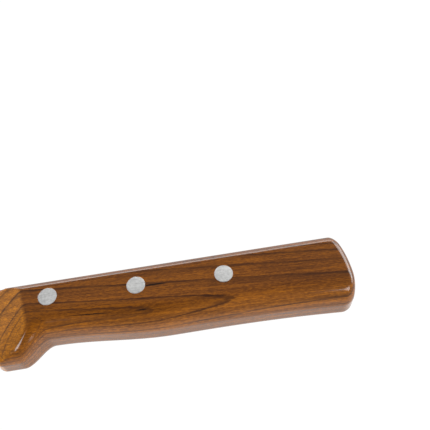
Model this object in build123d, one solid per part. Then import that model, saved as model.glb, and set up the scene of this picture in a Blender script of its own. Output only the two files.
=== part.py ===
from build123d import *
import os
from math import cos, pi, radians, sin, sqrt, tan

# Boning knife lying on its side, in millimetres.
# +X runs from the blade's point to the butt of the handle, +Y towards the spine, +Z up
# through the knife's thickness. z = 0 is the side of the handle that the knife lies on,
# and x = y = 0 is the middle of the whole knife's box.

# ---- Driving dimensions: handle -------------------------------------------------------
HANDLE_LENGTH = 131.0
HANDLE_THICKNESS = 17.5
GUARD_DEPTH = 28.3          # spine to the bottom of the finger guard
NECK_DEPTH = 21.4           # spine to the underside where the first finger sits
PALM_SWELL = 3.3            # how much deeper the palm is than the neck
BUTT_FLARE = 2.0            # how much deeper the butt is than the palm
GUARD_FLAT = 9.2            # length of the guard's flat bottom
SHOULDER_LENGTH = 11.0      # length of the S-shaped step behind the guard
SWELL_START = 19.0
SWELL_LENGTH = 45.0
FLARE_START = 75.0
SPINE_ROUNDING = 2.4
BUTT_ROUNDING = 2.6
UNDERSIDE_FLAT = 5.0        # width left flat along the underside
GUARD_OVAL_SHARE = 0.46     # how much of the local depth the oval rounding takes up at the guard
GRIP_OVAL_SHARE = 0.37      # the same along the grip, reached where the shoulder ends
BUTT_BOW_RADIUS = 32.0
BUTT_BOW_DEPTH = 15.0       # spine to the rearmost point of the butt
BUTT_CORNER = 3.8
GUARD_CORNER = 4.0

# ---- Driving dimensions: slanted faces at the front of the handle ----------------------
NOSE_WIDTH = 11.4           # thickness of the front face at the spine
NOSE_RAMP_LENGTH = 10.0     # front face to where the slant starts, at the spine
NOSE_RAMP_LEAN = 12.0       # degrees that the start of the slant leans back from upright

# ---- Driving dimensions: blade and tang ------------------------------------------------
STEEL_THICKNESS = 2.2
BLADE_LENGTH = 150.0
HEEL_DEPTH = 23.5
WAIST_DEPTH = 17.0          # spine to edge, where the blade has narrowed behind the tip
WAIST_PLACE = 62.0          # front of the handle to the waist
BELLY_DEPTH = 15.6          # spine to edge, where the edge starts to rise to the point
BELLY_PLACE = 112.0
POINT_DROP = 3.0            # spine line to the point
SPINE_DROP_LENGTH = 42.0    # length over which the spine bends down to the point
HEEL_CORNER = 1.5
RICASSO = 2.5               # full-thickness steel left in front of the handle
EDGE_THICKNESS = 0.3        # at the heel
TIP_THICKNESS = 1.1         # at the spine, near the point
TANG_LENGTH = 97.0
TANG_BELOW_RIVETS = 6.6     # rivet line to the lower edge of the tang
TANG_CORNER = 4.0

# ---- Driving dimensions: rivets --------------------------------------------------------
RIVET_PLACES = {"front": 20.5, "middle": 52.5, "rear": 84.5}
FIRST_RIVET_DEPTH = 7.2     # spine to the front rivet
RIVET_LINE_SLOPE = 1.83     # degrees that the rivet line falls away from the spine
HEAD_DIAMETER = 6.8
HEAD_THICKNESS = 1.4
TUBE_DIAMETER = 4.8
PIN_DIAMETER = 3.2
PIN_SHORTFALL = 1.0         # gap at each end, so that the heads close on the wood

# ---- Clearances ------------------------------------------------------------------------
TANG_HOLE_CLEARANCE = 0.1   # radial, between the rivet's tube and the hole in the tang
SLOT_END_CLEARANCE = 0.5    # behind and below the tang
OVERCUT = 1.0               # how far a cutter runs past the surface that it cuts

# ---- Derived places --------------------------------------------------------------------
OVERALL = BLADE_LENGTH + HANDLE_LENGTH
FRONT = BLADE_LENGTH - OVERALL / 2
SPINE = max(GUARD_DEPTH, NECK_DEPTH + PALM_SWELL + BUTT_FLARE) / 2
MIDDLE = HANDLE_THICKNESS / 2
OVAL_WIDTH = MIDDLE - UNDERSIDE_FLAT / 2


def smooth_step(x, start, length):
    """Rise from 0 to 1 as half a cosine wave over length."""
    share = min(max((x - start) / length, 0.0), 1.0)
    return (1 - cos(pi * share)) / 2


def handle_depth(x):
    """Spine to underside of the handle, x behind its front face."""
    guard = (GUARD_DEPTH - NECK_DEPTH) * (1 - smooth_step(x, GUARD_FLAT, SHOULDER_LENGTH))
    palm = PALM_SWELL * smooth_step(x, SWELL_START, SWELL_LENGTH)
    flare = BUTT_FLARE * (max(x - FLARE_START, 0.0) / (HANDLE_LENGTH - FLARE_START)) ** 2
    return NECK_DEPTH + guard + palm + flare


def rounding(height, width, reach):
    """Inset of an oval rounding of the given height and width, reach into its width."""
    share = min(max(reach / width, 0.0), 1.0)
    return height * (1 - sqrt(1 - share**2))


def oval_share(x):
    """Share of the local depth that the oval rounding takes up, x behind the front face."""
    extra = (GUARD_OVAL_SHARE - GRIP_OVAL_SHARE) * (1 - smooth_step(x, GUARD_FLAT, SHOULDER_LENGTH))
    return GRIP_OVAL_SHARE + extra


def underside_y(x, reach):
    """Height of the underside x behind the front face, reach from the middle plane."""
    depth = handle_depth(x)
    return rounding(oval_share(x) * depth, OVAL_WIDTH, reach - UNDERSIDE_FLAT / 2) - depth


def butt_x(y, radius):
    """Where the bowed butt, of the given radius, lies at height y under the spine line."""
    centre = HANDLE_LENGTH - BUTT_BOW_RADIUS
    return centre + sqrt(radius**2 - (y + BUTT_BOW_DEPTH) ** 2)


def handle_outline(level):
    """Side outline of the handle at one level, measured from its middle plane."""
    reach = abs(level)
    spine = -rounding(SPINE_ROUNDING, SPINE_ROUNDING, reach - MIDDLE + SPINE_ROUNDING)
    bow = BUTT_BOW_RADIUS - rounding(BUTT_ROUNDING, BUTT_ROUNDING, reach - MIDDLE + BUTT_ROUNDING)

    corner_x = butt_x(underside_y(HANDLE_LENGTH, reach), bow)
    corner = (corner_x, underside_y(corner_x, reach))
    bow_end_y = corner[1] + BUTT_CORNER
    bow_end = (butt_x(bow_end_y, bow), bow_end_y)
    bow_top = (butt_x(spine, bow), spine)
    bow_middle_y = (spine + bow_end_y) / 2
    bow_middle = (butt_x(bow_middle_y, bow), bow_middle_y)

    rear_x = corner_x - BUTT_CORNER
    shoulder_end = GUARD_FLAT + SHOULDER_LENGTH
    shoulder = [GUARD_FLAT + SHOULDER_LENGTH * step / 8 for step in range(8)]
    grip = [shoulder_end + (rear_x - shoulder_end) * step / 12 for step in range(13)]
    stations = [GUARD_CORNER, (GUARD_CORNER + GUARD_FLAT) / 2] + shoulder + grip
    underside = [(x, underside_y(x, reach)) for x in reversed(stations)]
    guard_y = underside_y(0, reach)

    edges = [
        Line((0, spine), bow_top),
        ThreePointArc(bow_top, bow_middle, bow_end),
        Bezier(bow_end, corner, underside[0]),
        Spline(*underside),
        Bezier(underside[-1], (0, guard_y), (0, guard_y + GUARD_CORNER)),
        Line((0, guard_y + GUARD_CORNER), (0, spine)),
    ]
    return Plane.XY.offset(level) * Face(Wire(edges))


def handle_levels():
    """Levels where the oval rounding has turned by even steps, from face to face."""
    turns = [radians(turn) for turn in (0, 15, 30, 45, 58, 69, 78, 84, 90)]
    upper = [UNDERSIDE_FLAT / 2 + OVAL_WIDTH * sin(turn) for turn in turns]
    return [-level for level in reversed(upper)] + [0.0] + upper


def beyond(place, outward):
    """Large block on the outward side of the plane through place."""
    face = Plane(origin=place, z_dir=outward) * Rectangle(2 * OVERALL, 2 * OVERALL)
    return extrude(face, amount=HANDLE_THICKNESS)


def nose_cutter(side):
    """Block that slants one side of the handle towards its front face."""
    slope = (HANDLE_THICKNESS - NOSE_WIDTH) / 2 / NOSE_RAMP_LENGTH
    lean = tan(radians(NOSE_RAMP_LEAN))
    return beyond((NOSE_RAMP_LENGTH, 0, side * MIDDLE), (-slope, -slope * lean, side))


def rivet_depth(x):
    """Spine to the rivet line, x behind the front face."""
    first = RIVET_PLACES["front"]
    return FIRST_RIVET_DEPTH + (x - first) * tan(radians(RIVET_LINE_SLOPE))


def tang_outline(grow=0.0, rise=0.0, lead=0.0):
    """Side outline of the tang, grown behind and below, and run past the spine and front."""
    rear = TANG_LENGTH + grow
    front_bottom = -rivet_depth(0) - TANG_BELOW_RIVETS - grow
    rear_bottom = -rivet_depth(rear) - TANG_BELOW_RIVETS - grow
    corner = TANG_CORNER + grow
    outline = Polyline(
        (-lead, rise), (rear, rise), (rear, rear_bottom), (-lead, front_bottom), close=True
    )
    face = Face(Wire(outline))
    lower_rear = face.vertices().sort_by(Axis.Y)[0]
    return face.fillet_2d(corner, [lower_rear])


def slab(face, thickness):
    """A face pulled to the given thickness, half to each side of the middle plane."""
    return extrude(face, amount=thickness / 2, both=True)


def post(x, radius, low, high):
    """A cylinder through the rivet line at x, from level low to level high."""
    return Pos(x, -rivet_depth(x), (low + high) / 2) * Cylinder(radius, high - low)


def handle():
    """Wooden handle: slotted along the spine for the tang and bored for the rivets."""
    body = loft([handle_outline(level) for level in handle_levels()])
    body -= nose_cutter(1)
    body -= nose_cutter(-1)
    slot = tang_outline(SLOT_END_CLEARANCE, SPINE_ROUNDING, OVERCUT)
    body -= slab(slot, STEEL_THICKNESS)
    seat = MIDDLE - HEAD_THICKNESS
    for x in RIVET_PLACES.values():
        body -= post(x, TUBE_DIAMETER / 2, -MIDDLE - OVERCUT, MIDDLE + OVERCUT)
        body -= post(x, HEAD_DIAMETER / 2, seat, MIDDLE + OVERCUT)
        body -= post(x, HEAD_DIAMETER / 2, -MIDDLE - OVERCUT, -seat)
    return body


def blade_outline():
    """Side outline of the blade in front of the handle, joined to nothing."""
    point = (-BLADE_LENGTH, -POINT_DROP)
    bend = (SPINE_DROP_LENGTH - BLADE_LENGTH, 0)
    belly = (-BELLY_PLACE, -BELLY_DEPTH)
    waist = (-WAIST_PLACE, -WAIST_DEPTH)
    heel_foot = (-HEEL_CORNER, -HEEL_DEPTH)
    heel_top = (0, HEEL_CORNER - HEEL_DEPTH)
    edges = [
        Line((0, 0), bend),
        Bezier(bend, (point[0] + SPINE_DROP_LENGTH / 2, 0), point),
        Spline(point, belly, waist, heel_foot, tangents=((0.55, -1), (1, -0.12))),
        Bezier(heel_foot, (0, -HEEL_DEPTH), heel_top),
        Line(heel_top, (0, 0)),
    ]
    return Face(Wire(edges))


def grind_cutter(side):
    """Block that leaves a flat side, thinner towards the edge and towards the point."""
    to_edge = (STEEL_THICKNESS - EDGE_THICKNESS) / 2 / HEEL_DEPTH
    to_point = (STEEL_THICKNESS - TIP_THICKNESS) / 2 / BLADE_LENGTH
    block = beyond((-RICASSO, 0, side * STEEL_THICKNESS / 2), (-to_point, -to_edge, side))
    ground = Box(BLADE_LENGTH, 2 * OVERALL, HANDLE_THICKNESS, align=(Align.MAX, Align.CENTER, Align.CENTER))
    return block & Pos(-RICASSO, 0, 0) * ground


def blade_with_tang():
    """Blade and tang, one steel stamping ground thin in front of the ricasso."""
    steel = slab(blade_outline(), STEEL_THICKNESS)
    steel -= grind_cutter(1)
    steel -= grind_cutter(-1)
    steel += slab(tang_outline(), STEEL_THICKNESS)
    for x in RIVET_PLACES.values():
        steel -= post(x, TUBE_DIAMETER / 2 + TANG_HOLE_CLEARANCE, -MIDDLE, MIDDLE)
    return steel


def rivet_female(x):
    """Head flush with the upper side, with the tube that the other half is driven into."""
    seat = MIDDLE - HEAD_THICKNESS
    head = post(x, HEAD_DIAMETER / 2, seat, MIDDLE)
    tube = post(x, TUBE_DIAMETER / 2, PIN_SHORTFALL - seat, seat)
    bore = post(x, PIN_DIAMETER / 2, PIN_SHORTFALL - seat - OVERCUT, seat)
    return head + tube - bore


def rivet_male(x):
    """Head flush with the lower side, with the solid pin that fills the tube."""
    seat = MIDDLE - HEAD_THICKNESS
    head = post(x, HEAD_DIAMETER / 2, -MIDDLE, -seat)
    return head + post(x, PIN_DIAMETER / 2, -seat, seat - PIN_SHORTFALL)


def build():
    """Every piece by name, placed in the knife's frame."""
    pieces = {"wood_handle": handle(), "blade_with_tang": blade_with_tang()}
    for name, x in RIVET_PLACES.items():
        pieces[f"rivet_{name}_female"] = rivet_female(x)
        pieces[f"rivet_{name}_male"] = rivet_male(x)
    return {name: Pos(FRONT, SPINE, MIDDLE) * piece for name, piece in pieces.items()}


os.makedirs("parts", exist_ok=True)
for node, shape in build().items():
    export_step(shape, f"parts/{node}.step")
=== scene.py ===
"""Boning knife: the wood, steel and rivets that are seen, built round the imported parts.

Lengths in the classes are millimetres in the handle's own axes: x behind the handle's
front face, y up from the line of its spine and z out from its middle plane.
"""

import logging
from dataclasses import dataclass
from enum import Enum
from typing import Any, Mapping, Sequence

import bpy
import numpy as np
from mathutils import Matrix, Vector


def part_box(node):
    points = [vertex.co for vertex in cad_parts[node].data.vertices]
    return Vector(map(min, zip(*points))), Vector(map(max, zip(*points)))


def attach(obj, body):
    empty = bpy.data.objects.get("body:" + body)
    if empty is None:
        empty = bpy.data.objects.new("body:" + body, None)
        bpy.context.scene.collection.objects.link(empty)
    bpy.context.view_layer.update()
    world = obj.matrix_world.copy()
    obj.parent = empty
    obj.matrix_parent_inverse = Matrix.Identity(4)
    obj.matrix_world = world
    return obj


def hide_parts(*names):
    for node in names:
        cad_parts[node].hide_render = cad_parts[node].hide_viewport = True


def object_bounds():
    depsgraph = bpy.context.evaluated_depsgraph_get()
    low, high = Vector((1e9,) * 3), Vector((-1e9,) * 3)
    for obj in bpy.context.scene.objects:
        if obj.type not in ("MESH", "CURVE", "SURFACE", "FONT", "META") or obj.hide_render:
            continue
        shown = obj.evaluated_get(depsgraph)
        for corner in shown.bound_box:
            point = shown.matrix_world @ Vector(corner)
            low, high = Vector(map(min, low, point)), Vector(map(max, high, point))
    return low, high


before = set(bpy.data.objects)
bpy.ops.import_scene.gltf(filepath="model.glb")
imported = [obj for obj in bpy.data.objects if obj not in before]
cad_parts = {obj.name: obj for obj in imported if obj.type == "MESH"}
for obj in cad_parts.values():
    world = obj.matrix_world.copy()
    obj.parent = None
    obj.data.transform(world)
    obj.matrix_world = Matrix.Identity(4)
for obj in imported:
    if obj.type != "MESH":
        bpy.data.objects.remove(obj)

log = logging.getLogger("boning_knife")
MM = 0.001
BODY = "root"
CAD_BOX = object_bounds()
TIMES = {"operation": "MULTIPLY"}
TIMES_PLUS = {"operation": "MULTIPLY_ADD"}


# ---- Arithmetic ----


def ease(value: np.ndarray, start: float, length: float) -> np.ndarray:
    """Rise from 0 to 1 as half a cosine wave.

    Args:
        value: Places along the rise.
        start: Where the rise starts.
        length: How long it is.

    Returns:
        (1 - cos(pi share)) / 2, where share is how far along the rise each value is.
    """
    share = np.clip((value - start) / length, 0.0, 1.0)
    return (1 - np.cos(np.pi * share)) / 2


def soft_min(first: np.ndarray, second: np.ndarray, width: float) -> np.ndarray:
    """The lesser of two lengths, rounded where they cross.

    Args:
        first: One length at each place.
        second: The other length at each place.
        width: Difference of the two under which the crossing is rounded.

    Returns:
        The minimum less a quarter of width times the square of how near the two are.
    """
    near = np.clip(width - np.abs(first - second), 0.0, None) / width
    return np.minimum(first, second) - near**2 * width / 4


def between(first: np.ndarray, last: np.ndarray, count: int) -> np.ndarray:
    """Rows spaced evenly from one row of values to another, both included."""
    share = np.linspace(0.0, 1.0, count)[:, None]
    return first * (1 - share) + last * share


# ---- Meshes ----


@dataclass(frozen=True)
class Datum:
    """The handle's own axes: front face, line of the spine and middle plane, in metres."""

    front: float
    spine: float
    middle: float

    @classmethod
    def of_handle(cls) -> "Datum":
        """Read the three places from the handle's box."""
        low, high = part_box("wood_handle")
        return cls(low.x, high.y, (low.z + high.z) / 2)

    def place(self, points: np.ndarray) -> np.ndarray:
        """Turn millimetres in the handle's axes into metres in the knife's frame."""
        return points * MM + np.array([self.front, self.spine, self.middle])


def outward(mesh: bpy.types.Mesh) -> None:
    """Turn a closed mesh's faces outwards, judged by the sign of the volume they enclose.

    Args:
        mesh: A closed mesh whose faces all agree with their neighbours.
    """
    mesh.calc_loop_triangles()
    corners = np.empty(len(mesh.loop_triangles) * 3, np.int32)
    mesh.loop_triangles.foreach_get("vertices", corners)
    places = np.empty(len(mesh.vertices) * 3)
    mesh.vertices.foreach_get("co", places)
    a, b, c = places.reshape(-1, 3)[corners].reshape(-1, 3, 3).transpose(1, 0, 2)
    if np.einsum("ij,ij->i", a, np.cross(b, c)).sum() < 0:
        mesh.flip_normals()


def solid(name: str, points: np.ndarray, faces: Sequence[Sequence[int]]) -> bpy.types.Object:
    """Put a closed surface into the scene as one object at the origin.

    Args:
        name: The object's name.
        points: Vertices in metres, one row each.
        faces: Indices of the corners of each face.

    Returns:
        The object, smooth shaded, its faces turned outwards.
    """
    mesh = bpy.data.meshes.new(name)
    mesh.from_pydata(points.tolist(), [], faces)
    mesh.update()
    outward(mesh)
    mesh.polygons.foreach_set("use_smooth", np.ones(len(mesh.polygons), bool))
    piece = bpy.data.objects.new(name, mesh)
    bpy.context.scene.collection.objects.link(piece)
    return piece


def loop_solid(name: str, loops: np.ndarray, first: np.ndarray, last: np.ndarray) -> bpy.types.Object:
    """Skin a row of closed loops and close both ends with a fan to a pole.

    Args:
        name: The object's name.
        loops: Points in metres, indexed by loop, place round the loop, and axis.
        first: The pole before the first loop.
        last: The pole after the last loop.

    Returns:
        The closed object.
    """
    count, around, _ = loops.shape
    points = np.concatenate([loops.reshape(-1, 3), first[None], last[None]])
    here = np.arange(count * around).reshape(count, around)
    beside = np.roll(here, -1, axis=1)
    sides = np.stack([here[:-1], beside[:-1], beside[1:], here[1:]], axis=-1).reshape(-1, 4)
    start = np.stack([beside[0], here[0], np.full(around, count * around)], axis=-1)
    finish = np.stack([here[-1], beside[-1], np.full(around, count * around + 1)], axis=-1)
    return solid(name, points, sides.tolist() + start.tolist() + finish.tolist())


def plate_solid(name: str, front: np.ndarray, back: np.ndarray, cells: np.ndarray) -> bpy.types.Object:
    """Close a plate from its two sides, over the cells of a grid that it covers.

    Args:
        name: The object's name.
        front: Points of one side in metres, indexed by column, row and axis.
        back: Points of the other side, matched to the first.
        cells: True for each cell of the grid that the plate covers.

    Returns:
        The closed object: both sides, with a wall along every edge of the covered cells.
    """
    columns, rows, _ = front.shape
    here = np.arange(columns * rows).reshape(columns, rows)
    ring = np.stack([here[:-1, :-1], here[1:, :-1], here[1:, 1:], here[:-1, 1:]], axis=-1)
    sides = [ring[cells], ring[cells][:, ::-1] + columns * rows]
    padded = np.pad(cells, 1).astype(int)
    for axis in (0, 1):
        step = np.diff(padded, axis=axis)
        step = step[:, 1:-1] if axis == 0 else step[1:-1, :]
        starts = here[:, :-1] if axis == 0 else here[:-1, :]
        ends = here[:, 1:] if axis == 0 else here[1:, :]
        for sign in (1, -1):
            edge = np.stack([starts[step == sign], ends[step == sign]], axis=-1)
            wall = np.concatenate([edge, edge[:, ::-1] + columns * rows], axis=-1)
            sides.append(wall if (sign == 1) == (axis == 1) else wall[:, ::-1])
    used, faces = np.unique(np.concatenate(sides), return_inverse=True)
    points = np.concatenate([front.reshape(-1, 3), back.reshape(-1, 3)])[used]
    return solid(name, points, [list(map(int, face)) for face in faces.reshape(-1, 4)])


def turned(name: str, profile: np.ndarray, centre: np.ndarray, sides: int) -> bpy.types.Object:
    """Turn a profile round an upright line, as a lathe does.

    Args:
        name: The object's name.
        profile: Radius and height of each point in metres, from pole to pole.
        centre: A point on the line that it is turned round.
        sides: How many flat sides stand for the circle.

    Returns:
        The closed object: x = radius cos(turn), y = radius sin(turn), z = height.
    """
    turn = np.linspace(0, 2 * np.pi, sides, endpoint=False)
    radius, height = profile[1:-1, 0, None], profile[1:-1, 1, None]
    loops = np.stack([radius * np.cos(turn), radius * np.sin(turn), height + 0 * turn], axis=-1)
    poles = np.array([[0, 0, profile[0, 1]], [0, 0, profile[-1, 1]]]) + centre
    return loop_solid(name, loops + centre, poles[0], poles[1])


def carve(body: bpy.types.Object, cutters: Sequence[bpy.types.Object], crease: float) -> None:
    """Take the cutters away from the body, and mark the body's sharp edges.

    Args:
        body: The object that keeps what is left.
        cutters: Closed objects, which are deleted.
        crease: Turn between faces, in degrees, past which an edge stays sharp.
    """
    for cutter in cutters:
        cut = body.modifiers.new(cutter.name, "BOOLEAN")
        cut.operation = "DIFFERENCE"
        cut.solver = "EXACT"
        cut.object = cutter
    if cutters:
        ready = body.evaluated_get(bpy.context.evaluated_depsgraph_get())
        finished = bpy.data.meshes.new_from_object(ready)
        body.modifiers.clear()
        body.data = finished
    for cutter in cutters:
        bpy.data.objects.remove(cutter)
    body.data.set_sharp_from_angle(angle=np.radians(crease))


# ---- Finishes ----


def linear(colour: str) -> tuple[float, float, float, float]:
    """Turn an sRGB hex colour into the linear colour that a shader takes.

    Args:
        colour: Six hex digits after a hash.

    Returns:
        Red, green, blue and an alpha of 1.
    """
    shares = np.array([int(colour[i : i + 2], 16) for i in (1, 3, 5)]) / 255
    low, high = shares / 12.92, ((shares + 0.055) / 1.055) ** 2.4
    red, green, blue = np.where(shares <= 0.04045, low, high).tolist()
    return red, green, blue, 1.0


class Graph:
    """The node tree of one material or of the world."""

    def __init__(self, owner: bpy.types.ID) -> None:
        """Empty the owner's tree and keep it."""
        owner.use_nodes = True
        self.tree = owner.node_tree
        self.tree.nodes.clear()

    def add(
        self,
        kind: str,
        settings: Mapping[str, Any] | None = None,
        inputs: Mapping[int | str, Any] | None = None,
        out: int | str = 0,
        stops: Sequence[tuple[float, Any]] = (),
    ) -> bpy.types.NodeSocket | None:
        """Add one node with its settings, its input values and its links.

        Args:
            kind: The node's type, without the words ShaderNode.
            settings: Properties of the node itself.
            inputs: For each input, a value or the output that is linked to it.
            out: Which output to give back.
            stops: For a colour ramp, each place and its hex colour or grey level, in order.

        Returns:
            The chosen output, or None for a node that has none.
        """
        node = self.tree.nodes.new("ShaderNode" + kind)
        for name, value in (settings or {}).items():
            setattr(node, name, value)
        for name, value in (inputs or {}).items():
            if isinstance(value, bpy.types.NodeSocket):
                self.tree.links.new(value, node.inputs[name])
            else:
                node.inputs[name].default_value = value
        for place, _ in stops[1:-1]:
            node.color_ramp.elements.new(place)
        for element, (place, level) in zip(node.color_ramp.elements if stops else (), stops):
            element.position = place
            element.color = linear(level) if isinstance(level, str) else (level, level, level, 1.0)
        return node.outputs[out] if len(node.outputs) else None


class Finish:
    """A material of one real thing, made once and given to every piece of it."""

    name = "finish"

    def material(self) -> bpy.types.Material:
        """Return the material, making it the first time."""
        made = bpy.data.materials.get(self.name)
        if made is None:
            made = bpy.data.materials.new(self.name)
            self.paint(Graph(made))
        return made

    def paint(self, graph: Graph) -> None:
        """Fill the material's node tree."""
        raise NotImplementedError

    def dress(self, piece: bpy.types.Object) -> None:
        """Give the piece this finish and no other."""
        piece.data.materials.clear()
        piece.data.materials.append(self.material())


@dataclass(frozen=True)
class InkStreak:
    """One dark mineral streak in the wood: a long thin lens of stain, sizes in millimetres."""

    middle: tuple[float, float, float]
    half_size: tuple[float, float, float]
    turn: float = 0.0              # degrees that it climbs towards the butt


@dataclass(frozen=True)
class VarnishedRosewood(Finish):
    """Flat-sawn rosewood, sanded and varnished.

    Gives the eye a warm brown with thin dark growth lines that run along the handle, close in
    on each other where the underside rounds off, and turn down as arcs on the slanted nose.
    The rings are circles round a pith line that lies far out from the handle's upper side.
    """

    datum: Datum
    name: str = "varnished_rosewood"
    pith: tuple[float, float] = (-37.23, 89.03)        # y and z of the pith at the front face
    pith_drift: tuple[float, float] = (-0.061, 0.019)  # how far it moves for each mm of x
    innermost: float = 80.9                            # radius of the first ring edge
    wander: float = 0.15                               # how far the rings stray, end to end
    raggedness: float = 0.22                           # the same for the roughness of their edges
    golden_inside: float = 85.2                        # radius inside which the wood is golden
    darkening: tuple[tuple[float, float], ...] = (     # how dark each ring is, share by share
        (0.0, 0.4), (0.05, 0.0), (0.5, 0.06), (0.8, 0.3), (0.92, 1.0), (1.0, 1.0)
    )
    rings: tuple[float, ...] = (                       # width of each ring, outwards
        3.07, 0.74, 0.91, 2.09, 1.97, 1.6, 1.1, 1.9, 1.4, 1.7, 1.2, 1.8, 1.5, 1.6
    )
    streaks: tuple[InkStreak, ...] = (
        InkStreak((58.6, -9.2, 8.75), (5.4, 0.42, 2.5), -1.0),
        InkStreak((54.2, -18.1, 7.6), (3.0, 0.34, 1.8), 0.0),
        InkStreak((36.0, -16.7, 8.2), (8.5, 0.26, 2.0), -5.0),
        InkStreak((46.0, 6.0, -8.0), (9.0, 0.4, 1.5), 2.0),
    )
    pale: str = "#a3631a"
    middle: str = "#834e1a"
    deep: str = "#5e3716"
    line: str = "#341d10"
    ink: str = "#150d0a"
    inner_tint: str = "#beb798"    # what the golden wood is multiplied by
    outer_tint: str = "#c8c5dd"    # and the rest
    nose_painted_light: tuple[float, float, float] = (2.3, 2.6, 2.3)     # painted light: how much paler the slanted nose is painted
    underside_painted_light: tuple[float, float, float] = (1.9, 1.95, 1.35)  # painted light: the same for the rounding below the side

    def paint(self, graph: Graph) -> None:
        """Fill the tree: rings, fibres, pores, mineral streaks, painted light on the nose and on the
        rounding below the side, and a varnish coat.
        """
        g = graph
        grid = g.add("TexCoord", out="Object")
        per_metre = 1000
        back = [-per_metre * v for v in (self.datum.front, self.datum.spine, self.datum.middle)]
        place = g.add("Mapping", inputs={0: grid, "Location": back, "Scale": (per_metre,) * 3})
        x, y, z = g.add("SeparateXYZ", inputs={0: place}).node.outputs
        below_pith, beside_pith = (
            g.add("Math", TIMES_PLUS, {0: x, 1: -drift, 2: -start})
            for drift, start in zip(self.pith_drift, self.pith)
        )
        up = g.add("Math", {}, {0: y, 1: below_pith})
        aside = g.add("Math", {}, {0: z, 1: beside_pith})
        fibre = g.add("CombineXYZ", inputs={0: x, 1: up, 2: aside})
        across = g.add("CombineXYZ", inputs={1: up, 2: aside})

        def grain(size: tuple[float, float], detail: float, rough: float = 0.5) -> bpy.types.NodeSocket:
            """Noise whose grains are so many millimetres long and across, along the fibres."""
            per_grain = (1 / size[0], 1 / size[1], 1 / size[1])
            scaled = g.add("VectorMath", TIMES, {0: fibre, 1: per_grain})
            return g.add("TexNoise", {}, {
                "Vector": scaled, "Scale": 1.0, "Detail": detail, "Roughness": rough
            })

        # Rings wander by less than a tenth of a millimetre, and their edges are ragged by a tenth.
        radius = g.add("VectorMath", {"operation": "LENGTH"}, {0: across}, out="Value")
        wander = g.add("Math", TIMES_PLUS, {
            0: grain((26, 9), 1.0), 1: self.wander, 2: -self.wander / 2
        })
        ragged = g.add("Math", TIMES_PLUS, {
            0: grain((3.0, 0.5), 2.0), 1: self.raggedness, 2: -self.raggedness / 2
        })
        ring_radius = g.add("Math", {}, {0: g.add("Math", {}, {0: radius, 1: wander}), 1: ragged})

        # Ring number: the radius looked up against the ring edges. Its fractional part is how
        # far through the ring a place is, and the wood darkens late in each ring but the first.
        edges = self.innermost + np.concatenate([[0.0], np.cumsum(self.rings)])
        span = float(edges[-1] - edges[0])
        share = g.add("MapRange", {}, {0: ring_radius, 1: float(edges[0]), 2: float(edges[-1])})
        count = len(self.rings)
        ranks = [(float((edge - edges[0]) / span), i / count) for i, edge in enumerate(edges)]
        number = g.add("ValToRGB", {}, {0: share}, stops=ranks)
        number = g.add("Math", TIMES, {0: number, 1: float(count)})
        part = g.add("Math", {"operation": "FRACT"}, {0: number})
        whole = g.add("Math", {"operation": "FLOOR"}, {0: number})
        late = g.add("ValToRGB", {}, {0: part}, stops=self.darkening)
        chance = g.add("TexWhiteNoise", {"noise_dimensions": "1D"}, {"W": whole}, out="Value")
        for strength in (
            {0: chance, 3: 0.78, 4: 1.0},
            {0: number, 1: 0.97, 2: 1.0},
            {0: grain((14, 1.5), 2.0), 1: 0.3, 2: 0.6, 3: 0.5, 4: 1.0},
        ):
            late = g.add("Math", TIMES, {0: late, 1: g.add("MapRange", {}, strength)})

        # Fibres 0.35 mm across and 25 mm long over broader bands, and flecks 1.5 mm long.
        fine = grain((25, 0.35), 4.0, 0.6)
        fleck = grain((1.5, 0.32), 2.0, 0.6)
        tone = g.add("Math", TIMES_PLUS, {0: grain((45, 1.6), 3.0), 1: 0.6, 2: -0.66})
        tone = g.add("Math", TIMES_PLUS, {0: fine, 1: 0.8, 2: tone})
        tone = g.add("Math", TIMES_PLUS, {0: fleck, 1: 0.95, 2: tone})
        tones = [(0.28, self.pale), (0.5, self.middle), (0.8, self.deep)]
        wood = g.add("ValToRGB", {}, {0: tone}, stops=tones)
        zone = (self.golden_inside - float(edges[0])) / span
        tints = [(zone - 0.02, self.inner_tint), (zone + 0.02, self.outer_tint)]
        tint = g.add("ValToRGB", {}, {0: share}, stops=tints)
        wood = g.add("Mix", {"data_type": "RGBA", "blend_type": "MULTIPLY"}, {
            0: 1.0, 6: wood, 7: tint
        }, out=2)

        # Pores: open vessels 0.16 mm across and 2 mm long, filled with dark stain.
        pore = g.add("MapRange", {}, {0: grain((2.2, 0.16), 1.0), 1: 0.62, 2: 0.74, 3: 0.0, 4: 0.6})
        for dark in (late, pore):
            wood = g.add("Mix", {"data_type": "RGBA"}, {0: dark, 6: wood, 7: linear(self.line)}, out=2)
        for streak in self.streaks:
            wood = self.stain(g, wood, place, fine, streak)

        # Painted light: places whose surface faces the front, as on the slanted nose, are painted a lighter
        # orange, and places that face down, as on the rounding below the side, a more golden brown, in
        # place of the light that falls on them.
        facing = g.add("SeparateXYZ", inputs={0: g.add("NewGeometry", out="Normal")}).node.outputs
        painted_lights = (
            (facing[1], ((0.12, 0.0), (0.45, 0.8), (0.8, 1.0)), self.underside_painted_light),
            (facing[0], ((0.12, 0.0), (0.26, 1.0), (0.45, 1.0), (0.9, 0.35)), self.nose_painted_light),
        )
        for slant, stops, painted_light_gain in painted_lights:
            away = g.add("Math", TIMES, {0: slant, 1: -1.0})
            # How much painted light each place gets, by the way its surface faces.
            cut = g.add("ValToRGB", {}, {0: away}, stops=stops)
            painted_lit_wood = g.add("VectorMath", TIMES, {0: wood, 1: painted_light_gain})
            wood = g.add("Mix", {"data_type": "RGBA"}, {0: cut, 6: wood, 7: painted_lit_wood}, out=2)

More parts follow.
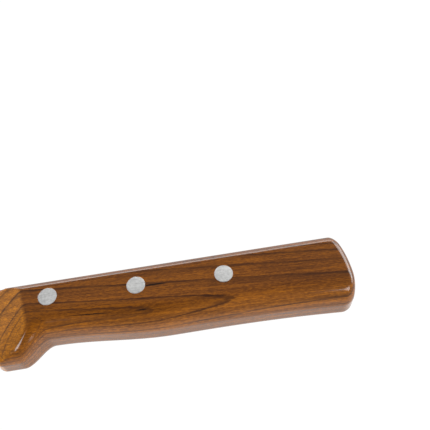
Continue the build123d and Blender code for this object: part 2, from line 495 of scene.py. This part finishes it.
        height = g.add("Math", TIMES_PLUS, {0: pore, 1: -1.2, 2: fine})
        bump = g.add("Bump", {}, {"Strength": 0.12, "Distance": 0.05 * MM, "Height": height})
        gloss = g.add("MapRange", {}, {0: fine, 1: 0.3, 2: 0.7, 3: 0.42, 4: 0.55})
        shader = g.add("BsdfPrincipled", {}, {
            "Base Color": wood, "Roughness": gloss, "IOR": 1.5, "Specular IOR Level": 0.0,
            "Normal": bump, "Coat Weight": 1.0, "Coat Roughness": 0.1, "Coat IOR": 1.55,
        })
        g.add("OutputMaterial", {}, {0: shader})

    def stain(
        self,
        g: Graph,
        wood: bpy.types.NodeSocket,
        place: bpy.types.NodeSocket,
        ragged: bpy.types.NodeSocket,
        streak: InkStreak,
    ) -> bpy.types.NodeSocket:
        """Lay one mineral streak over the wood's colour.

        Args:
            g: The material's tree.
            wood: Colour of the wood so far.
            place: Place in the handle's axes, in millimetres.
            ragged: Fibre noise, which frays the streak's rim.
            streak: Where the streak is and how long and thick.

        Returns:
            The wood's colour with the streak: ink where the distance from the streak's middle,
            in half sizes, plus the noise is under about 1.
        """
        turned_by = (0.0, 0.0, np.radians(streak.turn))
        local = g.add("Mapping", {"vector_type": "TEXTURE"}, {
            0: place, "Location": streak.middle, "Rotation": turned_by, "Scale": streak.half_size
        })
        far = g.add("VectorMath", {"operation": "LENGTH"}, {0: local}, out="Value")
        far = g.add("Math", TIMES_PLUS, {0: ragged, 1: 1.6, 2: far})
        share = g.add("MapRange", {}, {0: far, 1: 1.35, 2: 1.85, 3: 0.92, 4: 0.0})
        return g.add("Mix", {"data_type": "RGBA"}, {0: share, 6: wood, 7: linear(self.ink)}, out=2)


@dataclass(frozen=True)
class GroundSteel(Finish):
    """Stainless steel sheet, ground on a belt across the blade.

    Gives the eye a soft grey sheen drawn out along the blade by fine scratches that run from
    the spine to the edge.
    """

    name: str = "ground_stainless_steel"
    bright: str = "#c4c4c2"
    dull: str = "#9d9d9c"
    scratch: tuple[float, float, float] = (0.16, 12.0, 4.0)    # one scratch, in millimetres

    def paint(self, graph: Graph) -> None:
        """Fill the tree: belt scratches over a slow cloudiness."""
        g = graph
        grid = g.add("TexCoord", out="Object")
        per_scratch = tuple(1 / (size * MM) for size in self.scratch)
        line_place = g.add("VectorMath", TIMES, {0: grid, 1: per_scratch})
        line = g.add("TexNoise", {}, {"Vector": line_place, "Scale": 1.0, "Detail": 4.0, "Roughness": 0.65})
        cloud = g.add("TexNoise", {}, {"Vector": grid, "Scale": 60.0, "Detail": 3.0})
        shade = g.add("Math", TIMES_PLUS, {0: cloud, 1: 0.35, 2: line})
        colour = g.add("ValToRGB", {}, {0: shade}, stops=[(0.45, self.dull), (0.9, self.bright)])
        rough = g.add("MapRange", {}, {0: line, 1: 0.3, 2: 0.7, 3: 0.2, 4: 0.36})
        bump = g.add("Bump", {}, {"Strength": 0.25, "Distance": 0.02 * MM, "Height": line})
        shader = g.add("BsdfPrincipled", {}, {
            "Base Color": colour, "Metallic": 1.0, "Roughness": rough, "Normal": bump,
        })
        g.add("OutputMaterial", {}, {0: shader})


@dataclass(frozen=True)
class SandedAluminium(Finish):
    """Aluminium rivet heads, sanded flush with the wood and lightly buffed.

    Gives the eye pale, even, almost white discs with faint sanding marks.
    """

    name: str = "sanded_aluminium"
    bright: str = "#c3c3c2"
    dull: str = "#9d9d9c"
    mark: tuple[float, float, float] = (4.0, 0.18, 4.0)    # one sanding mark, in millimetres

    def paint(self, graph: Graph) -> None:
        """Fill the tree: sanding marks along the handle over a fine mottle."""
        g = graph
        grid = g.add("TexCoord", out="Object")
        per_mark = tuple(1 / (size * MM) for size in self.mark)
        mark_place = g.add("VectorMath", TIMES, {0: grid, 1: per_mark})
        marks = g.add("TexNoise", {}, {"Vector": mark_place, "Scale": 1.0, "Detail": 3.0, "Roughness": 0.6})
        mottle = g.add("TexNoise", {}, {"Vector": grid, "Scale": 1400.0, "Detail": 2.0})
        shade = g.add("Math", TIMES_PLUS, {0: mottle, 1: 0.6, 2: marks})
        colour = g.add("ValToRGB", {}, {0: shade}, stops=[(0.55, self.dull), (1.0, self.bright)])
        rough = g.add("MapRange", {}, {0: marks, 1: 0.3, 2: 0.7, 3: 0.56, 4: 0.7})
        bump = g.add("Bump", {}, {"Strength": 0.2, "Distance": 0.02 * MM, "Height": shade})
        shader = g.add("BsdfPrincipled", {}, {
            "Base Color": colour, "Metallic": 1.0, "Roughness": rough, "Normal": bump,
        })
        g.add("OutputMaterial", {}, {0: shader})


# ---- Handle ----


@dataclass
class WoodHandle:
    """One piece of wood: a grip with a finger guard, slotted for the tang and bored for rivets."""

    datum: Datum
    finish: Finish
    length: float = 131.0
    thickness: float = 17.5
    guard_depth: float = 28.3
    neck_depth: float = 21.4
    palm_swell: float = 3.3
    butt_flare: float = 2.0
    guard_flat: float = 9.2
    shoulder_length: float = 11.0
    swell_start: float = 19.0
    swell_length: float = 45.0
    flare_start: float = 75.0
    spine_rounding: float = 3.0
    underside_flat: float = 5.0
    guard_oval_share: float = 0.46
    grip_oval_share: float = 0.37
    bow_radius: float = 32.0
    bow_depth: float = 15.0
    bow_start: float = 30.0        # how far in front of the butt its bow starts to ease in
    bow_easing: float = 25.0
    nose_width: float = 11.4
    nose_ramp: float = 10.0
    nose_lean: float = 12.0
    crease: float = 0.5            # how soft the line is where the slant meets the side
    core_share: float = 0.45       # spine to the core that the rays start from, as share of depth
    end_roundings: tuple[float, float, float] = (1.2, 2.6, 3.8)    # butt: spine, sides, underside
    front_roundings: tuple[float, float, float] = (0.35, 0.35, 4.0)
    lip: float = 0.12              # how far the slot and the rivet seats are eased at the surface
    slot_clearance: float = 0.5    # behind and below the tang
    around: int = 176

    def depth(self, x: np.ndarray) -> np.ndarray:
        """Spine to underside: a neck, plus a guard that falls away, a palm swell and a flare."""
        guard = (self.guard_depth - self.neck_depth) * (1 - ease(x, self.guard_flat, self.shoulder_length))
        palm = self.palm_swell * ease(x, self.swell_start, self.swell_length)
        flare = np.clip(x - self.flare_start, 0, None) / (self.length - self.flare_start)
        return self.neck_depth + guard + palm + self.butt_flare * flare**2

    def reach(self, x: np.ndarray, share: np.ndarray) -> tuple[np.ndarray, ...]:
        """Cast rays from the core of each cross-section to its outline.

        A cross-section is a slab between the two sides, topped by the spine with a quarter
        circle at its corner, and closed below by a quarter ellipse and a flat. Where the nose
        is slanted, the ray stops at the slanted plane if that is nearer.

        Args:
            x: Place of each ray behind the front face.
            share: How far round the half outline each ray is, 0 at the spine and 1 at the
                middle of the underside, a fifth for each stretch of the outline.

        Returns:
            Length of each ray, the y of the core it starts from, and its sine and cosine.
        """
        half, flat, curl = self.thickness / 2, self.underside_flat / 2, self.spine_rounding
        depth = self.depth(x)
        core = -self.core_share * depth
        fade = 1 - ease(x, self.guard_flat, self.shoulder_length)
        rise = (self.grip_oval_share + (self.guard_oval_share - self.grip_oval_share) * fade) * depth
        wide = half - flat
        zero = np.zeros_like(depth)
        marks_z = np.stack([zero, zero + half - curl, zero + half, zero + half, zero + flat, zero])
        marks_y = np.stack([zero, zero, zero - curl, rise - depth, -depth, -depth]) - core
        turns = np.arctan2(marks_z, marks_y)
        turns[-1] = np.pi
        stretch = np.clip((share * 5).astype(int), 0, 4)
        low = np.take_along_axis(turns, stretch[None], 0)[0]
        high = np.take_along_axis(turns, stretch[None] + 1, 0)[0]
        turn = low + (high - low) * (share * 5 - stretch)
        sine, cosine = np.sin(turn), np.cos(turn)

        def to_oval(centre_z: np.ndarray, centre_y: np.ndarray, a: np.ndarray, b: np.ndarray) -> np.ndarray:
            """Length of each ray to the far side of an ellipse: the larger root of a quadratic."""
            p, q = sine / a, cosine / b
            r, s = -centre_z / a, (core - centre_y) / b
            square, twice, rest = p * p + q * q, 2 * (p * r + q * s), r * r + s * s - 1
            return (-twice + np.sqrt(np.clip(twice**2 - 4 * square * rest, 0, None))) / (2 * square)

        tiny, grazing, endless = 1e-6, 0.02, 1e3
        lengths = np.stack([
            -core / np.clip(cosine, tiny, None),
            to_oval(zero + half - curl, zero - curl, zero + curl, zero + curl),
            half / np.clip(sine, tiny, None),
            to_oval(zero + flat, rise - depth, zero + wide, rise),
            (depth + core) / np.clip(-cosine, tiny, None),
        ])
        length = np.take_along_axis(lengths, stretch[None], 0)[0]
        slope = (self.thickness - self.nose_width) / 2 / self.nose_ramp
        lean = slope * np.tan(np.radians(self.nose_lean))
        start = half - slope * (self.nose_ramp - x) + lean * core
        closing = sine - lean * cosine
        slanted = np.where(closing > grazing, start / np.clip(closing, grazing, None), endless)
        return soft_min(length, slanted, self.crease), core, sine, cosine

    def end_rounding(self, share: np.ndarray, sizes: tuple[float, float, float]) -> np.ndarray:
        """Blend an end's rounding from the spine over the side to the underside."""
        spine, side, under = sizes
        return spine + (side - spine) * ease(share, 0.12, 0.25) + (under - side) * ease(share, 0.62, 0.22)

    def surface(self) -> tuple[np.ndarray, np.ndarray, np.ndarray]:
        """Work out the whole skin as loops round the handle, and the pole at each end.

        Station and place round the loop are the two parameters. Towards each end the loops
        step inwards along a quarter circle, whose radius depends on the place round the loop,
        and then close in on the core. Near the butt every loop is sheared onto the bow of the
        butt, an arc in the side view.

        Returns:
            Loops in metres, the front pole and the butt pole.
        """
        half_share = np.linspace(0, 1, self.around // 2 + 1)
        share = np.concatenate([half_share, half_share[-2:0:-1]])
        side = np.concatenate([np.ones(self.around // 2 + 1), -np.ones(self.around // 2 - 1)])
        turn = np.radians(np.linspace(0, 90, 10))[:, None]
        front = self.end_rounding(share, self.front_roundings)[None]
        butt = self.end_rounding(share, self.end_roundings)[None]
        shrink = np.linspace(0.04, 1, 14)[:-1, None]

        guard_stations, grip_stations = np.linspace(4.2, 26, 64), np.linspace(27, self.length - 4.4, 90)
        stations = np.concatenate([guard_stations, grip_stations])[:, None]
        x = np.concatenate([
            0 * shrink + 0 * front, front * (1 - np.cos(turn)), stations + 0 * front,
            self.length - butt * (1 - np.cos(turn[::-1])), self.length + 0 * shrink * butt,
        ])
        inset = np.concatenate([
            0 * shrink + front, front * (1 - np.sin(turn)), 0 * stations + 0 * front,
            butt * (1 - np.sin(turn[::-1])), 0 * shrink + butt,
        ])
        scale = np.concatenate([shrink, np.ones((len(turn) * 2 + len(stations), 1)), shrink[::-1]])
        ray, core, sine, cosine = self.reach(x, np.broadcast_to(share, x.shape))
        ray = (ray - inset) * scale
        y = core + ray * cosine
        z = ray * sine * side
        x = x + self.bow(x, y)
        loops = np.stack([x, y, z], axis=-1)
        poles = loops[[0, -1]].mean(axis=1)
        return self.datum.place(loops), self.datum.place(poles[0]), self.datum.place(poles[1])

    def bow(self, x: np.ndarray, y: np.ndarray) -> np.ndarray:
        """How far the bowed butt moves a point: the drop of its arc, eased in before it."""
        drop = np.sqrt(self.bow_radius**2 - (y + self.bow_depth) ** 2) - self.bow_radius
        return drop * ease(x, self.length - self.bow_start, self.bow_easing)

    def slot_cutter(self, tang: "Steel") -> bpy.types.Object:
        """Blade of the slotting saw: the tang's outline, its walls eased apart at the spine."""
        wall, eased = tang.stock / 2, tang.stock / 2 + self.lip
        rear, corner = tang.tang_length + self.slot_clearance, tang.tang_corner + self.slot_clearance
        turn = np.sin(np.radians([30, 60, 90]))
        x = np.concatenate([[-3.0], np.linspace(0, rear - corner, 8), rear - corner * (1 - turn)])
        past = np.clip(x - (rear - corner), 0, corner)
        floor = -tang.tang_depth(x) - self.slot_clearance + corner - np.sqrt(corner**2 - past**2)
        z = np.array([0, -wall, -wall, -eased, -eased, eased, eased, wall, wall])
        low, top = floor[:, None], 0 * x[:, None]
        ledge, above = top - self.lip, top + 2
        y = np.concatenate([low, low, ledge, top, above, above, top, ledge, low], axis=1)
        loops = np.stack([x[:, None] + 0 * z, y, z + 0 * x[:, None]], axis=-1)
        poles = [np.array([loops[i, :, 0].mean(), -3.0, 0.0]) for i in (0, -1)]
        return loop_solid("slot_cutter", self.datum.place(loops), *map(self.datum.place, poles))

    def seat_cutter(self, rivet: "Rivet") -> bpy.types.Object:
        """Drill with a head at each end: the rivet's seats and the hole for its tube."""
        half = self.thickness / 2
        seat, head, tube = half - rivet.head_thickness, rivet.head_radius, rivet.tube_radius
        upper = np.array([
            [0, half + 1], [head + self.lip, half + 1], [head + self.lip, half], [head, half - self.lip],
            [head, seat], [tube, seat],
        ])
        lower = upper[::-1] * (1, -1)
        profile = np.concatenate([upper, lower]) * MM
        return turned("seat_cutter", profile, rivet.centre, rivet.sides)

    def build(self, tang: "Steel", rivets: Sequence["Rivet"]) -> bpy.types.Object:
        """Skin the handle, cut its slot and seats, and hang it on the frame.

        Args:
            tang: The steel that lies in the slot.
            rivets: One half of each rivet.

        Returns:
            The finished handle.
        """
        piece = loop_solid("rosewood_handle", *self.surface())
        carve(piece, [self.slot_cutter(tang)] + [self.seat_cutter(rivet) for rivet in rivets], 35.0)
        self.finish.dress(piece)
        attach(piece, BODY)
        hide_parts("wood_handle")
        log.info("%s: %d faces", piece.name, len(piece.data.polygons))
        return piece


# ---- Blade and tang ----


@dataclass
class Steel:
    """Blade and tang in one piece of sheet, ground thin towards the edge and the point."""

    datum: Datum
    finish: Finish
    stock: float = 2.2
    blade_length: float = 150.0
    heel_depth: float = 23.5
    waist: tuple[float, float] = (-62.0, -17.0)
    belly: tuple[float, float] = (-112.0, -15.6)
    point_drop: float = 3.0
    drop_length: float = 42.0
    heel_corner: float = 1.5
    ricasso: float = 2.5
    edge_thickness: float = 0.3
    tip_thickness: float = 1.1
    edge_angle: float = 16.0       # degrees of the sharpened bevel to the middle plane
    tang_length: float = 97.0
    tang_corner: float = 4.0
    first_rivet: float = 20.5
    first_rivet_depth: float = 7.2
    rivet_slope: float = 1.83
    below_rivets: float = 6.6
    spine_easing: float = 0.22
    edge_half: float = 0.04        # half the thickness left at the very edge
    tip_inset: float = 0.15        # how far the mesh stops short of the point
    grind_run: float = 2.4         # length over which the grind fades out at the ricasso
    bevel_run: float = 1.2         # and the bevel
    hole_clearance: float = 0.1    # radial, round each rivet's tube

    def spine(self, x: np.ndarray) -> np.ndarray:
        """Line of the spine: straight, then a parabola down to the point."""
        past = np.clip(self.drop_length - self.blade_length - x, 0, None)
        return -self.point_drop * (past / self.drop_length) ** 2

    def edge(self, x: np.ndarray) -> np.ndarray:
        """Line of the edge: cubics through point, belly, waist and heel with a shared slope at each."""
        knots = np.array([-self.blade_length, self.belly[0], self.waist[0], -self.heel_corner])
        heights = np.array([-self.point_drop, self.belly[1], self.waist[1], -self.heel_depth])
        slopes = np.array([-1.0, -0.045, -0.055, -0.12])
        i = np.clip(np.searchsorted(knots, x) - 1, 0, 2)
        span = knots[i + 1] - knots[i]
        t = np.clip((x - knots[i]) / span, 0, 1)
        rest = 1 - t
        curve = heights[i] * (1 + 2 * t) * rest**2 + heights[i + 1] * (3 - 2 * t) * t**2
        curve += span * (slopes[i] * t * rest**2 - slopes[i + 1] * t**2 * rest)
        corner = np.clip(x + self.heel_corner, 0, self.heel_corner)
        return curve + self.heel_corner - np.sqrt(self.heel_corner**2 - corner**2)

    def tang_depth(self, x: np.ndarray) -> np.ndarray:
        """Spine to the lower edge of the tang, which runs along the line of the rivets."""
        line = self.first_rivet_depth + (x - self.first_rivet) * np.tan(np.radians(self.rivet_slope))
        return line + self.below_rivets

    def half_thickness(self, x: np.ndarray, y: np.ndarray, edge: np.ndarray) -> np.ndarray:
        """Half the sheet, or a plane that thins towards edge and point, or the sharpened bevel."""
        full = self.stock / 2
        to_edge = (self.stock - self.edge_thickness) / 2 / self.heel_depth
        to_point = (self.stock - self.tip_thickness) / 2 / self.blade_length
        ground = full + to_point * (x + self.ricasso) + to_edge * y
        ground = full + (ground - full) * ease(-x, self.ricasso - 0.1, self.grind_run)
        bevel = self.edge_half + np.tan(np.radians(self.edge_angle)) * (y - edge)
        bevel = bevel + full * ease(x, -self.ricasso - self.bevel_run, self.bevel_run)
        return np.minimum(np.minimum(full, ground), bevel)

    def surface(self) -> tuple[np.ndarray, np.ndarray, np.ndarray]:
        """Work out both sides of the plate over a grid of stations and rows.

        Rows run from the spine to the edge: the eased corner of the spine, the flat down to
        the line of the tang's lower edge, the flat below it, and the sharpened bevel.

        Returns:
            Points of the two sides in metres, and the cells that the plate covers.
        """
        along = 1 - np.cos(np.linspace(0, np.pi / 2, 90))
        start, end = -self.blade_length + self.tip_inset, -self.ricasso - 0.1
        blade_x = start + (end - start) * along
        heel_x = np.linspace(-self.ricasso, 0, 11)
        tang_x = np.concatenate([
            np.linspace(0, self.tang_length - self.tang_corner, 40)[1:],
            self.tang_length - self.tang_corner * (1 - np.sin(np.radians(np.linspace(10, 90, 9)))),
        ])
        x = np.concatenate([blade_x[:-1], heel_x, tang_x])
        top = self.spine(x)
        edge = self.edge(np.minimum(x, 0))
        # Over the 40 mm in front of the handle, the line that divides the rows swings from a
        # little below the blade's middle to the level of the tang's lower edge.
        slack = (edge - top) * 0.55
        heel = -self.tang_depth(np.zeros(1))[0]
        keep = ease(x, -40, 40)
        line = (top + slack) * (1 - keep) + heel * keep
        past = np.clip(x - self.tang_length + self.tang_corner, 0, self.tang_corner)
        tang = -self.tang_depth(x) + self.tang_corner - np.sqrt(self.tang_corner**2 - past**2)
        line = np.where(x > 0, tang, line)
        line = np.minimum(line, top - 3 * self.spine_easing)
        line = np.maximum(line, edge + 0.25 * (top - edge))
        # The bevel starts where its plane meets the ground flat, found by coming closer.
        shoulder = edge + np.minimum(1.1, 0.22 * (top - edge))
        for _ in range(6):
            gap = self.half_thickness(x, shoulder, edge - 100) - self.edge_half
            shoulder = edge + np.minimum(gap / np.tan(np.radians(self.edge_angle)), 0.24 * (top - edge))
        ease_depth = np.minimum(self.spine_easing, 0.1 * (top - edge))
        corner = np.radians([0, 30, 60, 90])
        eased = top - ease_depth * (1 - np.cos(corner))[:, None]
        y = np.concatenate([
            eased, between(top - ease_depth, line, 12)[1:], between(line, shoulder, 8)[1:],
            between(shoulder, edge, 4)[1:],
        ]).T
        shed = np.concatenate([1 - np.sin(corner), np.zeros(y.shape[1] - 4)])
        half = self.half_thickness(x[:, None], y, edge[:, None])
        half = np.maximum(half - ease_depth[:, None] * shed, 0.03)
        both = np.broadcast_to(x[:, None], y.shape)
        tang_rows = 4 + 11
        cells = np.ones((len(x) - 1, y.shape[1] - 1), bool)
        cells[x[:-1] > -1e-9, tang_rows - 1 :] = False
        front = self.datum.place(np.stack([both, y, half], axis=-1))
        back = self.datum.place(np.stack([both, y, -half], axis=-1))
        return front, back, cells

    def build(self, rivets: Sequence["Rivet"]) -> bpy.types.Object:
        """Make the plate, bore its tang and hang it on the frame.

        Args:
            rivets: One half of each rivet.

        Returns:
            The finished steel.
        """
        piece = plate_solid("ground_blade_and_tang", *self.surface())
        drills = []
        for rivet in rivets:
            radius, reach = rivet.tube_radius + self.hole_clearance, 5.0
            profile = np.array([[0, reach], [radius, reach], [radius, -reach], [0, -reach]]) * MM
            drills.append(turned("tang_drill", profile, rivet.centre, rivet.sides))
        carve(piece, drills, 7.0)
        self.finish.dress(piece)
        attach(piece, BODY)
        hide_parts("blade_with_tang")
        log.info("%s: %d faces", piece.name, len(piece.data.polygons))
        return piece


# ---- Rivets ----


class Half(Enum):
    """Which half of a cutler's rivet a piece is."""

    FEMALE = "female"
    MALE = "male"


@dataclass
class Rivet:
    """One half of a rivet: a head let into the wood, with a tube or a pin behind it."""

    datum: Datum
    finish: Finish
    place: str
    half: Half
    thickness: float = 17.5
    head_radius: float = 3.4
    head_thickness: float = 1.4
    tube_radius: float = 2.4
    pin_radius: float = 1.6
    shortfall: float = 1.0
    pin_chamfer: tuple[float, float] = (0.3, 0.4)    # radius and height of the pin's bevelled foot
    easing: float = 0.14
    doming: float = 0.05
    sides: int = 72

    @property
    def node(self) -> str:
        """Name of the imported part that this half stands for."""
        return f"rivet_{self.place}_{self.half.value}"

    @property
    def centre(self) -> np.ndarray:
        """Where the rivet's line crosses the middle plane of the handle, in metres."""
        low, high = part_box(self.node)
        return np.array([(low.x + high.x) / 2, (low.y + high.y) / 2, self.datum.middle])

    def profile(self) -> np.ndarray:
        """Radius and height from the outer pole to the inner one, in millimetres.

        The head is a shallow dome, 0.05 mm high, with its rim rounded by a quarter circle.

        Returns:
            One row for each point, for a head that faces up.
        """
        top, seat = self.thickness / 2, self.thickness / 2 - self.head_thickness
        flat = np.linspace(0, self.head_radius - self.easing, 7)
        dome = np.stack([flat, top - self.doming * (flat / self.head_radius) ** 2], axis=-1)
        turn = np.radians(np.linspace(15, 90, 6))
        rim = np.stack([
            self.head_radius - self.easing * (1 - np.sin(turn)),
            dome[-1, 1] - self.easing * (1 - np.cos(turn)),
        ], axis=-1)
        foot = self.shortfall - seat
        if self.half is Half.FEMALE:
            shank = [
                [self.head_radius, seat], [self.tube_radius, seat], [self.tube_radius, foot],
                [self.pin_radius, foot], [self.pin_radius, seat], [0, seat],
            ]
        else:
            inward, upward = self.pin_chamfer
            shank = [
                [self.head_radius, seat], [self.pin_radius, seat], [self.pin_radius, foot + upward],
                [self.pin_radius - inward, foot], [0, foot],
            ]
        return np.concatenate([dome, rim, np.array(shank)])

    def build(self) -> bpy.types.Object:
        """Turn the half, face it the right way and hang it on the frame.

        Returns:
            The finished half.
        """
        way = 1 if self.half is Half.FEMALE else -1
        profile = self.profile() * (1, way) * MM
        piece = turned(f"aluminium_{self.node}", profile, self.centre, self.sides)
        carve(piece, [], 30.0)
        self.finish.dress(piece)
        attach(piece, BODY)
        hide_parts(self.node)
        log.info("%s: %d faces", piece.name, len(piece.data.polygons))
        return piece


# ---- Studio ----


@dataclass(frozen=True)
class LitOpalAcrylic(Finish):
    """Opal acrylic table top lit from below, as for pack shots.

    Gives the eye an even white with no shadow.
    """

    name: str = "lit_opal_acrylic"
    glow: float = 1.0
    body: str = "#5e5e5d"

    def paint(self, graph: Graph) -> None:
        """Fill the tree: a matt sheet that shines evenly."""
        shader = graph.add("BsdfPrincipled", {}, {
            "Base Color": linear(self.body), "Roughness": 0.7, "Specular IOR Level": 0.2,
            "Emission Color": (1.0, 1.0, 1.0, 1.0), "Emission Strength": self.glow,
        })
        graph.add("OutputMaterial", {}, {0: shader})


class Lit(Enum):
    """Which pieces a softbox lights. Black flags keep it off the others."""

    HANDLE = "handle_and_rivets"
    STEEL = "blade_and_tang"


@dataclass(frozen=True)
class Softbox:
    """A softbox: the way to it from the handle, its width and height in metres, its radiance."""

    name: str
    toward: tuple[float, float, float]
    size: tuple[float, float]
    radiance: float
    mirrored: bool = True          # whether it shows in polished surfaces
    lights: Lit = Lit.HANDLE


@dataclass
class Studio:
    """Table, lamps, sky and camera."""

    datum: Datum
    lens: float = 46.0
    camera_from_front: tuple[float, float, float] = (76.5, -100.6, 187.0)
    aim_from_front: tuple[float, float, float] = (85.27, 16.36, 8.75)
    roll: float = -5.23
    table_size: float = 6.0
    table_gap: float = 0.02        # between the knife and the table, in millimetres
    lamp_distance: float = 0.9
    lit_from_front: tuple[float, float, float] = (65.0, -12.0, 0.0)    # where the lamps aim
    softboxes: tuple[Softbox, ...] = (
        Softbox("back_softbox", (0.3, 0.70, 0.69), (2.6, 0.28), 4.6),
        Softbox("butt_softbox", (0.9, 0.25, 0.42), (0.7, 0.36), 4.2),
        Softbox("back_scrim", (0.15, 0.92, 0.36), (2.4, 0.5), 1.3),
        Softbox("left_softbox", (-0.51, -0.13, 0.85), (0.36, 0.25), 6.5),
        Softbox("right_softbox", (0.40, -0.44, 0.80), (0.2, 0.24), 6.0),
        Softbox("top_scrim", (0.0, -0.62, 0.78), (1.6, 0.9), 1.0, mirrored=False),
        Softbox("steel_scrim", (0.0, 0.1, 1.0), (3.2, 3.2), 0.62, lights=Lit.STEEL),
    )
    sky_levels: tuple[tuple[float, float], ...] = (
        (0.0, 1.0), (0.3, 0.6), (0.6, 0.25), (0.87, 0.14), (1.0, 0.07)
    )

    def table(self) -> None:
        """Lay the table a hair under the knife."""
        reach = self.table_size / 2
        corners = np.array([[-1, -1, 0], [1, -1, 0], [1, 1, 0], [-1, 1, 0]]) * reach
        corners[:, 2] = CAD_BOX[0].z - self.table_gap * MM
        mesh = bpy.data.meshes.new("studio_table")
        mesh.from_pydata(corners.tolist(), [], [[0, 1, 2, 3]])
        sheet = bpy.data.objects.new("studio_table", mesh)
        bpy.context.scene.collection.objects.link(sheet)
        LitOpalAcrylic().dress(sheet)

    def softbox(self, box: Softbox, lit: bpy.types.Collection) -> None:
        """Hang one softbox so that it faces the handle.

        Args:
            box: Where it hangs, how large it is and how bright its cloth is.
            lit: The pieces that it lights.
        """
        light = bpy.data.lights.new(box.name, "AREA")
        light.shape = "RECTANGLE"
        light.size, light.size_y = box.size
        light.energy = box.radiance * np.pi * box.size[0] * box.size[1]
        lamp = bpy.data.objects.new(box.name, light)
        lamp.visible_camera = False
        lamp.visible_glossy = box.mirrored
        lamp.light_linking.receiver_collection = lit
        bpy.context.scene.collection.objects.link(lamp)
        toward = Vector(box.toward).normalized()
        middle = Vector(self.datum.place(np.array(self.lit_from_front)))
        facing = toward.to_track_quat("Z", "Y").to_matrix().to_4x4()
        lamp.matrix_world = Matrix.Translation(middle + toward * self.lamp_distance) @ facing

    def sky(self) -> None:
        """Fill the room with light that is pale at the horizon and dim overhead."""
        world = bpy.data.worlds.new("studio_sky")
        bpy.context.scene.world = world
        g = Graph(world)
        height = g.add("SeparateXYZ", inputs={0: g.add("TexCoord", out="Generated")}, out=2)
        colour = g.add("ValToRGB", {}, {0: height}, stops=self.sky_levels)
        g.add("OutputWorld", {}, {0: g.add("Background", {}, {0: colour, 1: 1.0})})

    def camera(self) -> None:
        """Stand the camera over the cutting-edge side of the handle."""
        data = bpy.data.cameras.new("studio_camera")
        data.lens = self.lens
        data.clip_start = 0.005
        camera = bpy.data.objects.new("studio_camera", data)
        bpy.context.scene.collection.objects.link(camera)
        eye = Vector(self.datum.place(np.array(self.camera_from_front)))
        aim = Vector(self.datum.place(np.array(self.aim_from_front)))
        look = (aim - eye).to_track_quat("-Z", "Y").to_matrix().to_4x4()
        roll = Matrix.Rotation(np.radians(self.roll), 4, "Z")
        camera.matrix_world = Matrix.Translation(eye) @ look @ roll
        bpy.context.scene.camera = camera

    def build(self, lit: dict[Lit, list[bpy.types.Object]]) -> None:
        """Set up everything round the knife.

        Args:
            lit: The pieces that each kind of softbox lights, so that the steel doesn't mirror
                the handle's boxes as white patches.
        """
        flagged = {group: bpy.data.collections.new(group.value) for group in lit}
        for group, pieces in lit.items():
            for piece in pieces:
                flagged[group].objects.link(piece)
        bpy.context.scene.view_settings.view_transform = "Standard"
        self.table()
        self.sky()
        for box in self.softboxes:
            self.softbox(box, flagged[box.lights])
        self.camera()
        log.info("studio ready")


# ---- Everything ----


def main() -> None:
    """Build the pieces in order and report each piece."""
    logging.basicConfig(level=logging.INFO, format="%(name)s %(message)s")
    datum = Datum.of_handle()
    wood, steel, aluminium = VarnishedRosewood(datum), GroundSteel(), SandedAluminium()
    places = ("front", "middle", "rear")
    rivets = [Rivet(datum, aluminium, place, half) for place in places for half in Half]
    upper = [rivet for rivet in rivets if rivet.half is Half.FEMALE]
    blade = Steel(datum, steel)
    blade_piece = blade.build(upper)
    handle = WoodHandle(datum, wood).build(blade, upper)
    handle_side = [handle, *(rivet.build() for rivet in rivets)]
    Studio(datum).build({Lit.HANDLE: handle_side, Lit.STEEL: [blade_piece]})


if __name__ == "__main__":
    main()
